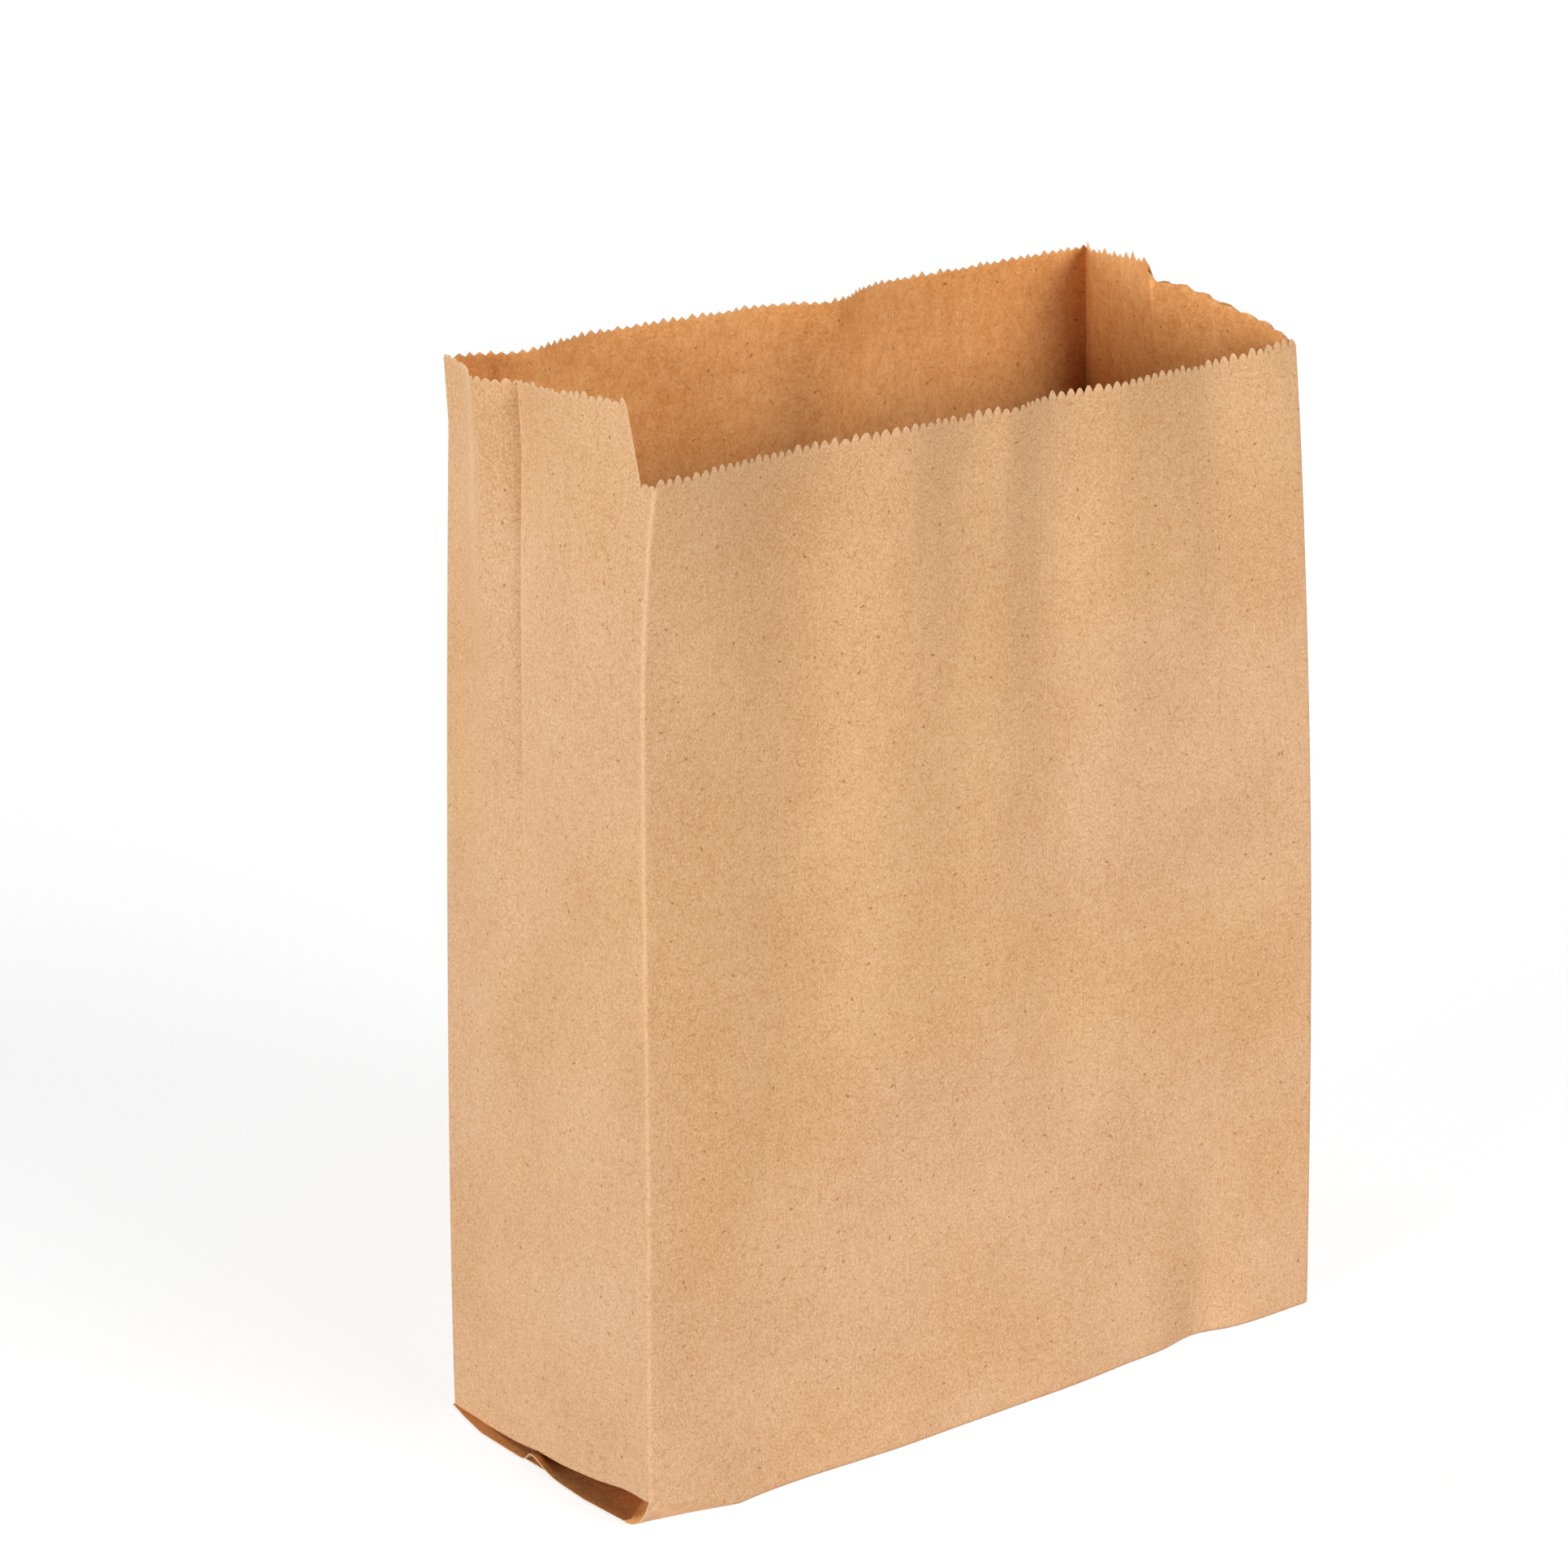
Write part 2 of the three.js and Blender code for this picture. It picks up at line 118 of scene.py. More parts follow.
# Slight unevenness of the paper: count, lengths, turn and slope of its soft waves
WRINKLE_COUNT = 18
WRINKLE_LENGTHS = (14, 60)
WRINKLE_TURN = 0.7
WRINKLE_SLOPE = 0.0045
WRINKLE_FADE = 8.0            # distance over which they die out at a crease

# Worn pale paper beside a crease, with a painted highlight along the fold
WEAR_AND_HIGHLIGHT_REACH = 0.6
WEAR_AND_HIGHLIGHT_CORNERS = (0.9, 0.8, 0.8, 0.6, 0.9)
WEAR_AND_HIGHLIGHT_CENTRE = 0.35
WEAR_AND_HIGHLIGHT_TIPS = 0.6               # wear and a painted highlight at the tips of the teeth

# Lifted front left corner and open pocket
CORNER_LIFT = 8.8
CORNER_RUN = 25.0             # along the front fold
CORNER_TUCK = 9.5             # along the side
TUCK = np.array([-WIDTH / 2 - 1.2, CORNER_TUCK - DEPTH / 2, 0.15])
TUCK_BEND = np.array([-96.6, -39.4, 0.9])

# Pasted base, and the side edge of its flap under the left gusset, from the front to the back
BASE_Z = 0.4
BASE_INSET = 0.25
BASE_BACK_INSET = 0.15
FLAP_EDGE = [
    (-32, -96.6), (-18, -97.9), (-8, -97.9), (4, -97.7), (12, -98.0), (25, -98.3), (34, -97.0), (41.3, -95.6),
]
# Curl in that edge: its height and place, and how far it runs back, front and inwards
CURL_HEIGHT = 2.4
CURL_PLACE = 4.5
CURL_BACK = 1.8
CURL_FRONT = 6.0
CURL_REACH = 9.0

# Glued flaps under the base: fold line, free edge, level, and their left ends from low to high y
UNDER_FLAPS = [
    (-40.6, 11.0, 0.16, [(-40.6, -66.0), (-32, -92.0), (-8, -94.0), (11, -80.0)]),
    (41.0, -11.0, 0.11, [(-11, -84.0), (-4, -96.6), (12, -97.2), (25, -97.6), (41.0, -94.8)]),
]
UNDER_FLAP_INSET = 0.7
UNDER_FLAP_CORNER = 24.0

# Steps of the mesh in millimetres, and the closer places beside a fold
COLUMN_STEP = 1.6
COLUMN_FINE = [0, 0.35, 0.8, 1.4, 2.3]
ROW_STEP = 4.2
ROW_FINE = [0, 0.2, 0.5, 0.9, 1.6, 2.6, 4.0, 6.0, 8.5]
# Steps of the mesh as shares
TALL_SHARES = np.array([0, 0.08, 0.16, 0.24, 0.32, 0.4, 0.5, 0.6, 0.7, 0.8, 0.9, 1.0])
POCKET_SHARES = np.linspace(0, 1, 14)
BASE_ROWS = np.linspace(0, 1, 110)
BASE_COLUMNS = np.concatenate([np.linspace(0, 0.06, 14), np.linspace(0.075, 1, 40)])
UNDER_ROWS = np.linspace(0, 1, 24)
UNDER_COLUMNS = np.concatenate([np.linspace(0, 0.1, 12), np.linspace(0.12, 1, 70)])
TUCK_POINTS = 12
MERGE_DIGITS = 3
SHARP_ANGLE = 50.0            # degrees from which an edge is shaded sharp

# Places on the flat paper, whose walls go from 0 round the bag and up from 0
SEAM_PLACE = np.array([0, 300.0])
INSIDE_PLACE = np.array([900.0, 0])
PLEAT_FROM = -4.0
PLEAT_DOWN = 40.0
TUCK_FROM = 560.0
TUCK_ALONG = 14.0
TUCK_DOWN = -3.0
CORNER_DOWN = -1.0
BASE_DOWN = -60.0
UNDER_FROM = 300.0
UNDER_DOWN = -160.0

# Material slots of the mesh
OUTSIDE, INSIDE, CUT = range(3)


class Corner:
    """A corner crease: its foot, its swell at half height and its move at the mouth."""

    def __init__(self, x, y, foot, swell, mouth, powers):
        self.base = np.array([x * WIDTH / 2, y * DEPTH / 2])
        self.foot = np.array(foot)
        self.swell = np.array(swell)
        self.mouth = np.array(mouth)
        self.powers = np.array(powers)

    def at(self, z):
        t = (z / HEIGHT)[..., None]
        bent = self.mouth * np.maximum(t, 0) ** self.powers
        return self.base + self.foot * (1 - t) + self.swell * np.sin(np.pi * t) + bent


front_left = Corner(-1, -1, foot=(-1.1, 0), swell=(1.2, 0), mouth=(5.3, -11.2), powers=(1, 8))
front_right = Corner(1, -1, foot=(1.25, 0), swell=(2.9, 0), mouth=(-1.2, 5.7), powers=(14, 1))
back_right = Corner(1, 1, foot=(0, 0), swell=(0, 0), mouth=(-3.3, -6.6), powers=(1, 1))
back_left = Corner(-1, 1, foot=(0.1, 0), swell=(0.3, 0), mouth=(9.9, -5), powers=(1.55, 1))


def bulge(s, place, spread):
    """A soft bulge of 1 at its place that dies out over its spread and at both creases."""
    return np.exp(-(((s - place) / spread) ** 2)) * np.minimum(1, np.minimum(s, 1 - s) / WAVE_END)


class Panel:
    """Paper between two corner creases. Places and spreads are shares of its width.

    A wave has its place, spread, height at the mouth and how late it sets in towards the mouth.
    A wave at the foot has its place, spread and height.
    A crease has its place, reach and depth. A groove lies just before it.
    A pinch has the end of the panel that it is at, and its depth.
    """

    def __init__(self, ends, paper, belly=BELLY, waves=(), foot_waves=(), crease=None, breaks=(), foot=None,
                 lift=None, top=None, pinched=None, groove=0.0):
        self.ends = ends
        self.paper = paper
        self.belly = belly
        self.waves = waves
        self.foot_waves = foot_waves
        self.crease = crease
        self.breaks = (0, *breaks, 1)
        self.foot = foot or np.zeros_like
        self.lift = lift or np.zeros_like
        self.top = top
        self.pinched = pinched
        self.groove = groove

    def lip(self, s):
        return HEIGHT - LIP + self.lift(s)

    def bow(self, s, z):
        t = z / HEIGHT
        bow = self.belly * 4 * s * (1 - s) * np.sin(np.pi * np.minimum(1, t))
        for place, spread, height, late in self.waves:
            bow = bow + height * t**late * bulge(s, place, spread)
        for place, spread, height in self.foot_waves:
            bow = bow + height * bulge(s, place, spread) * np.exp(-z / FOOT_FADE)
        if self.crease:
            place, reach, depth = self.crease
            fold = np.maximum(0, 1 - np.abs(s - place) / reach)
            bow = bow - depth * fold * (CREASE_AT_BASE + (1 - CREASE_AT_BASE) * t * t)
            off_groove = np.abs((s - place) * self.paper / GROOVE_HALF + 1)
            bow = bow - self.groove * t * t * np.maximum(0, 1 - off_groove)
        if self.pinched:
            end, depth = self.pinched
            away = np.abs(s - end)
            pinch = depth * (1 - np.exp(-away * self.paper / PINCH_REACH)) * (1 - away)
            bow = bow - pinch * (PINCH_AT_BASE + (1 - PINCH_AT_BASE) * t)
        return bow

    def at(self, s, z):
        """Middle of the paper at share s and height z."""
        start = self.ends[0].at(z)
        along = self.ends[1].at(z) - start
        outwards = np.stack([along[..., 1], -along[..., 0]], -1)
        outwards = outwards / np.linalg.norm(outwards, axis=-1, keepdims=True)
        place = start + along * s[..., None] + outwards * self.bow(s, z)[..., None]
        return np.concatenate([place, z[..., None]], -1)


slit = SLIT_FROM_FRONT / DEPTH
seam_start = SEAM_FROM_CORNER / WIDTH
seam_end = (SEAM_FROM_CORNER + SEAM_WIDTH) / WIDTH
front = Panel(
    (front_left, front_right),
    WIDTH,
    belly=FRONT_BELLY,
    waves=[
        (0.23, 0.095, -4.6, 1.8),
        (0.375, 0.05, 1.4, 2.5),
        (0.455, 0.03, -0.4, 4),
        (0.54, 0.04, 3.4, 8),
        (0.6, 0.06, -3.0, 2),
        (0.71, 0.05, 1.0, 3),
        (0.87, 0.055, -3.4, 5),
    ],
    foot_waves=[(0.21, 0.1, -1.4), (0.76, 0.09, -1.4), (0.83, 0.04, -2.6)],
    foot=lambda s: CORNER_LIFT * np.maximum(0, 1 - s * WIDTH / CORNER_RUN),
    lift=lambda s: FRONT_LIFT * (1 - s) ** 3 + sum(h * bulge(s, p, w) for p, w, h in FRONT_RISES),
)
right = Panel(
    (front_right, back_right),
    GUSSET_PAPER,
    waves=[(0.25, 0.2, 2.5, 3)],
    crease=(RIGHT_CREASE, 0.4, 5.5),
    breaks=(slit, RIGHT_CREASE),
    top=lambda s: HEIGHT - RIGHT_DROP + RIGHT_RISE * (1 - s) / (1 - RIGHT_CREASE),
    pinched=(1, PINCH_GUSSET),
)
back = Panel(
    (back_right, back_left),
    WIDTH,
    waves=[(0.45, 0.06, -9, 3), (0.62, 0.12, -2, 3), (0.9, 0.065, -5.5, 3)],
    breaks=(seam_start, seam_end),
    top=lambda s: HEIGHT - RIGHT_DROP + (RIGHT_DROP - BACK_DROP) * s,
    pinched=(0, PINCH_BACK),
)
left = Panel(
    (back_left, front_left),
    GUSSET_PAPER,
    waves=[(0.33, 0.15, 9, 3), (0.66, 0.2, 3.5, 3)],
    crease=(LEFT_CREASE, 0.13, 3),
    groove=GROOVE,
    breaks=(LEFT_CREASE, 1 - slit),
    foot_waves=[(0.86, 0.1, -1.6)],
    foot=lambda s: CORNER_LIFT * s**1.5,
    lift=lambda s: FRONT_LIFT * s,
    top=lambda s: HEIGHT - BACK_DROP + LEFT_RISE * s,
)
PANELS = [front, right, back, left]


def stepped(length, step, fine):
    """Places from 0 to length, close together near both ends."""
    near = [x for x in fine if x < length / 3]
    count = max(2, round((length - 2 * near[-1]) / step))
    middle = np.linspace(near[-1], length - near[-1], count + 1)
    return np.array([*near[:-1], *middle, *[length - x for x in near[-2::-1]]])


def panel_columns(panel):
    """Shares of a panel at which its columns stand, without the last."""
    columns = []
    for start, end in zip(panel.breaks, panel.breaks[1:]):
        places = stepped((end - start) * panel.paper, COLUMN_STEP, COLUMN_FINE)
        columns.extend(start + places[:-1] / panel.paper)
    return np.array(columns)


columns = [panel_columns(panel) for panel in PANELS]
columns[-1] = np.append(columns[-1], 1.0)
column_starts = np.cumsum([0] + [len(c) for c in columns])
corner_columns = column_starts[:4]


def column_of(panel, share):
    """Number of the column nearest to a share of a panel."""
    k = PANELS.index(panel)
    return column_starts[k] + int(np.argmin(np.abs(columns[k] - share)))


flat_starts = np.cumsum([0] + [panel.paper for panel in PANELS])
flat_u = np.concatenate([flat_starts[k] + columns[k] * PANELS[k].paper for k in range(4)])

row_shares = stepped(HEIGHT - LIP, ROW_STEP, ROW_FINE) / (HEIGHT - LIP)


def on_flat(u, v):
    """Places on the flat paper, by the way round and the height."""
    return np.stack(np.broadcast_arrays(u, v), -1)


def wrinkles(u, v):
    """Unevenness of the paper, as a sum of soft waves."""
    total = np.zeros_like(u)
    for _ in range(WRINKLE_COUNT):
        length = rng.uniform(*WRINKLE_LENGTHS)
        turn = rng.normal(0, WRINKLE_TURN)
        phase = rng.uniform(0, 2 * np.pi)
        total += np.sin(2 * np.pi * (u * np.cos(turn) + v * np.sin(turn)) / length + phase) * length
    return total * WRINKLE_SLOPE / math.sqrt(WRINKLE_COUNT)


def wall_rows():
    """The paper below the lip, as rows of points round the bag from the front left crease."""
    blocks, flats = [], []
    for k, panel in enumerate(PANELS):
        s = columns[k][None, :]
        low, high = panel.foot(s), panel.lip(s)
        z = low + (high - low) * row_shares[:, None]
        blocks.append(panel.at(np.broadcast_to(s, z.shape), z))
        flats.append(z)
    points = np.concatenate(blocks, 1)
    height = np.concatenate(flats, 1)
    return points, on_flat(flat_u, height)


# Creases: their place round the flat paper and how much wear and painted highlight they get
CREASES = [
    *zip(flat_starts, WEAR_AND_HIGHLIGHT_CORNERS),
    (flat_starts[1] + RIGHT_CREASE * GUSSET_PAPER, 0.0),
    (flat_starts[3] + LEFT_CREASE * GUSSET_PAPER, WEAR_AND_HIGHLIGHT_CENTRE),
]


def fold_distance(u):
    """Distance round the paper to the nearest crease, in millimetres."""
    return np.min([np.abs(u - place) for place, _ in CREASES], axis=0)


def wear_and_highlight_at(flat):
    """Wear and painted highlight by the creases, which fade towards the base."""
    u, v = flat[..., 0], flat[..., 1]
    wear_and_highlight = [wear_and_highlight_level * np.exp(-(((u - place) / WEAR_AND_HIGHLIGHT_REACH) ** 2)) for place, wear_and_highlight_level in CREASES]
    return np.max(wear_and_highlight, axis=0) * v / HEIGHT


def horizontal_normals(points):
    """Level directions out of the bag, at rows of points."""
    along = np.gradient(points, axis=1)
    normals = np.stack([along[..., 1], -along[..., 0], np.zeros(along.shape[:2])], -1)
    return normals / np.linalg.norm(normals, axis=-1, keepdims=True)


def soften(points):
    """Rounds the corner creases a little."""
    count = points.shape[1] - 1
    ring = points[:, :count].copy()
    for _ in range(SOFT_ROUNDS):
        smooth = 0.25 * np.roll(ring, 1, 1) + 0.5 * ring + 0.25 * np.roll(ring, -1, 1)
        for c in corner_columns:
            near = np.arange(c - SOFT_COLUMNS, c + SOFT_COLUMNS + 1) % count
            ring[:, near] = smooth[:, near]
    return np.concatenate([ring, ring[:, :1]], 1)


class Sheet:
    """A sheet of paper: points, their places on the flat paper, their wear and painted highlight, and faces.
    """

    def __init__(self):
        self.points = []
        self.flat = []
        self.wear_and_highlight = []
        self.faces = []
        self.count = 0

    def add(self, points, flat, wear_and_highlight=0.0):
        points = np.asarray(points, float)
        ids = np.arange(points[..., 0].size).reshape(points.shape[:-1]) + self.count
        self.points.append(points.reshape(-1, 3))
        self.flat.append(np.broadcast_to(flat, (*points.shape[:-1], 2)).reshape(-1, 2))
        self.wear_and_highlight.append(np.broadcast_to(wear_and_highlight, points.shape[:-1]).ravel())
        self.count += ids.size
        return ids

    def grid(self, ids):
        a, b, c, d = ids[:-1, :-1], ids[:-1, 1:], ids[1:, 1:], ids[1:, :-1]
        self.faces.extend(np.stack([a, b, c, d], -1).reshape(-1, 4).tolist())

    def strip(self, lower, upper, lower_at, upper_at):
        """Two rows of points, joined from end to end by their places along the edge."""
        lower_at = np.append(lower_at, math.inf)
        upper_at = np.append(upper_at, math.inf)
        i = j = 0
        while i < len(lower) - 1 or j < len(upper) - 1:
            if lower_at[i + 1] <= upper_at[j + 1]:
                self.faces.append([lower[i], lower[i + 1], upper[j]])
                i += 1
            else:
                self.faces.append([lower[i], upper[j + 1], upper[j]])
                j += 1


def along_edge(values, arc, at):
    """Values that are known along an arc, at other places on it."""
    return np.stack([np.interp(at, arc, values[:, k]) for k in range(values.shape[1])], -1)


def toothed_edge(sheet, ids, points, flat, part, teeth):
    """A saw-toothed strip of paper along a part of a wall's last row."""
    height, rounded, jitter = teeth
    edge = points[-1, part]
    up = edge - points[-2, part]
    up = up / np.linalg.norm(up, axis=1, keepdims=True)
    arc = np.concatenate([[0], np.cumsum(np.linalg.norm(np.diff(edge, axis=0), axis=1))])
    count = max(1, round(arc[-1] / TOOTH_PITCH))
    roots = np.arange(count + 1.0)
    roots[1:-1] += rng.uniform(-0.5, 0.5, count - 1) * jitter
    roots *= arc[-1] / count
    peaks = height * (1 + jitter * rng.uniform(-1, 1, count))
    phases = np.tile(TOOTH_PHASES, count)
    tooth = np.repeat(np.arange(count), len(TOOTH_PHASES))
    at = np.append(roots[tooth] + (roots[tooth + 1] - roots[tooth]) * phases, arc[-1])
    sharp = 1 - np.abs(2 * phases - 1)
    shape = np.sin(np.pi * phases) ** SCALLOP if rounded else sharp
    rise = np.append(peaks[tooth] * shape, 0) + TOOTH_ROOT
    # Tips of the teeth get pale wear and a painted highlight
    wear_and_highlight = WEAR_AND_HIGHLIGHT_TIPS * np.append(shape, 0)
    top = along_edge(edge, arc, at) + along_edge(up, arc, at) * rise[:, None]
    top_flat = along_edge(flat[-1, part], arc, at) + on_flat(0, rise)
    sheet.strip(ids[-1, part], sheet.add(top, top_flat, wear_and_highlight), arc, at)


def turned_out(s, paper):
    """Rise and outward move of the right gusset's flopped rim, by paper above the lip."""
    places, heights = zip(*TURN_CREST)
    crest = np.interp(s, places, heights)
    crest = crest + TURN_BUMP * np.sin(2 * np.pi * s * GUSSET_PAPER / TURN_BUMP_LENGTH)
    angle = np.clip((paper - crest) / TURN_RADIUS, 0, TURN_ANGLE)
    hanging = np.maximum(0, paper - crest - TURN_ANGLE * TURN_RADIUS)
    rise = np.minimum(paper, crest) + TURN_RADIUS * np.sin(angle) + hanging * math.cos(TURN_ANGLE)
    out = TURN_RADIUS * (1 - np.cos(angle)) + hanging * math.sin(TURN_ANGLE)
    return rise, out


def tall_rows(lip_row):
    """The paper above the lip, from the right slit round the back to the left slit."""
    first, last = column_of(right, slit), column_of(left, 1 - slit)
    crease = column_of(right, RIGHT_CREASE)
    share = TALL_SHARES[:, None]
    blocks, rises = [], []
    for k in (1, 2, 3):
        panel = PANELS[k]
        s = np.broadcast_to(columns[k][None, :], (len(TALL_SHARES), len(columns[k])))
        lip = panel.lip(s)
        rise = (panel.top(s) - lip) * share
        move = panel.at(s, lip + rise) - panel.at(s, lip)
        if panel is left:
            free = np.clip((s - LEFT_CREASE) / (1 - LEFT_CREASE), 0, 1)
            move = np.stack([-LEFT_LEAN * share + 0 * s, SLIT_SPREAD * share * free, rise], -1)
        if panel is right:
            up, out = turned_out(s, rise)
            turned = s < RIGHT_CREASE - TINY
            move = np.where(turned[..., None], np.stack([out, 0 * s, up], -1), move)
        blocks.append(move)
        rises.append(rise)
    offset = column_starts[1]
    part = slice(first - offset, last - offset + 1)
    points = lip_row[None, first:last + 1] + np.concatenate(blocks, 1)[:, part]
    height = HEIGHT - LIP + np.concatenate(rises, 1)[:, part]
    return points, on_flat(flat_u[first:last + 1], height), first, crease


def seam_sheet(sheet, points, flat, tall, tall_flat, first):
    """Glued seam: a strip of the back panel, about one ply further out."""
    start, end = column_of(back, seam_start), column_of(back, seam_end) + 1
    below, above = slice(start, end), slice(start - first, end - first)
    seam = np.concatenate([points[:, below], tall[1:, above]])
    seam_flat = np.concatenate([flat[:, below], tall_flat[1:, above]])
    seam = seam + horizontal_normals(seam) * SEAM_SEAT * PAPER
    sheet.grid(sheet.add(seam, seam_flat + SEAM_PLACE))


def wall_sheet(sheet):
    """Walls with their toothed mouth. Returns the points of the feet."""
    points, flat = wall_rows()
    fade = np.minimum(1, fold_distance(flat[..., 0]) / WRINKLE_FADE)
    normals = horizontal_normals(points)
    points = points + normals * (wrinkles(flat[..., 0], flat[..., 1]) * fade)[..., None]
    floor_fold = np.maximum(0, 1 - points[..., 2] / FOLD) ** 2 * FOLD * FOLD_PULL
    points = points - normals * floor_fold[..., None]
    points = soften(points)
    ids = sheet.add(points, flat, wear_and_highlight_at(flat))
    sheet.grid(ids)

    tall, tall_flat, first, crease = tall_rows(points[-1])
    tall_ids = sheet.add(tall, tall_flat, wear_and_highlight_at(tall_flat))
    sheet.grid(tall_ids)

    seam_sheet(sheet, points, flat, tall, tall_flat, first)

    last = first + tall.shape[1] - 1
    back_start, back_end = column_starts[2], column_starts[3]
    left_crease = column_of(left, LEFT_CREASE)
    for start, end, teeth in [
        (first, crease, RIM_TEETH),
        (crease, back_start, RIGHT_TEETH),
        (back_start, back_end, BACK_TEETH),
        (back_end, left_crease, LEFT_BACK_TEETH),
        (left_crease, last, LEFT_FRONT_TEETH),
    ]:
        toothed_edge(sheet, tall_ids, tall, tall_flat, slice(start - first, end - first + 1), teeth)
    right_start = column_starts[1]
    for part, teeth in [
        (slice(last, None), TAB_TEETH),
        (slice(0, right_start + 1), FRONT_TEETH),
        (slice(right_start, first + 1), TAB_TEETH),
    ]:
        toothed_edge(sheet, ids, points, flat, part, teeth)
    return points[0]


def bezier(a, b, c, count):
    """Points on a curve from a to c that bends towards b."""
    t = np.linspace(0, 1, count)[:, None]
    return (1 - t) ** 2 * a + 2 * t * (1 - t) * b + t * t * c


def pocket_sheet(sheet, foot):
    """Pleat under the left gusset and the folded front corner: the walls of the open pocket."""
    gusset = foot[column_starts[3]:]
    corner = foot[:column_of(front, CORNER_RUN / WIDTH) + 1]
    apex = np.array([(DEPTH - WIDTH) / 2, 0, BASE_Z + PAPER])
    inwards = POCKET_SHARES[:, None, None]
    down = PLEAT_FROM - PLEAT_DOWN * POCKET_SHARES[:, None]
    pleat = gusset[None] * (1 - inwards) + apex * inwards
    pleat[..., 2] = np.maximum(pleat[..., 2], BASE_Z)
    sheet.grid(sheet.add(pleat, on_flat(flat_u[column_starts[3]:], down))[::-1])

    edge = bezier(corner[0], TUCK_BEND, TUCK, TUCK_POINTS)
    along = np.linspace(0, TUCK_ALONG, TUCK_POINTS)
    inner = edge[None] * (1 - inwards) + apex * inwards
    sheet.grid(sheet.add(inner, on_flat(TUCK_FROM + along, down))[::-1, ::-1])
    lower = sheet.add(edge, on_flat(along, TUCK_DOWN))
    upper = sheet.add(corner, on_flat(flat_u[:len(corner)], CORNER_DOWN))
    sheet.strip(lower, upper, np.linspace(0, 1, len(lower)), np.linspace(0, 1, len(upper)))


def base_sheet(sheet, foot):
    """Pasted base: flat, with a wavy free edge and a curled lip at the left, over its glued flaps."""
    back_y = DEPTH / 2
    front_part = foot[column_of(front, CORNER_RUN / WIDTH):column_starts[1] + 1]
    line_x = np.concatenate([[TUCK[0]], front_part[:, 0]])
    line_y = np.concatenate([[TUCK[1]], front_part[:, 1]])
    right_foot = foot[column_starts[1]:column_starts[2] + 1]
    right_y = right_foot[0, 1] + (back_y - right_foot[0, 1]) * BASE_ROWS
    x_left = np.interp(TUCK[1] + (back_y - TUCK[1]) * BASE_ROWS, *zip(*FLAP_EDGE))
    x_right = np.interp(right_y, right_foot[:, 1], right_foot[:, 0]) - BASE_INSET
    grid = np.zeros((len(BASE_ROWS), len(BASE_COLUMNS), 3))
    for j, share in enumerate(BASE_COLUMNS):
        x = x_left + (x_right - x_left) * share
        y_front = np.interp(x, line_x, line_y) + BASE_INSET
        y = y_front + (back_y - BASE_BACK_INSET - y_front) * BASE_ROWS
        away = np.maximum(0, 1 - (x - x_left) / CURL_REACH) ** 2
        along = (y - CURL_PLACE) / np.where(y > CURL_PLACE, CURL_BACK, CURL_FRONT)
        curl = CURL_HEIGHT * np.exp(-along**2) * away
        grid[:, j] = np.stack([x, y, BASE_Z + curl], -1)
    flat = on_flat(grid[..., 0] + WIDTH / 2, BASE_DOWN - grid[..., 1] - DEPTH / 2)
    sheet.grid(sheet.add(grid, flat).T)

    for line, end, level, ends in UNDER_FLAPS:
        x_left = np.interp(line + (end - line) * UNDER_ROWS, *zip(*ends))
        x_right = WIDTH / 2 - UNDER_FLAP_INSET - UNDER_FLAP_CORNER * UNDER_ROWS**2
        x = x_left[:, None] + (x_right - x_left)[:, None] * UNDER_COLUMNS
        fold = np.maximum(line, np.interp(x, line_x, line_y) + UNDER_FLAP_INSET)
        y = fold + (end - fold) * UNDER_ROWS[:, None]
        points = np.stack([x, y, np.full(x.shape, level)], -1)
        under = sheet.add(points, on_flat(x + UNDER_FROM, UNDER_DOWN - y))
        sheet.grid(under[::-1] if line < end else under)


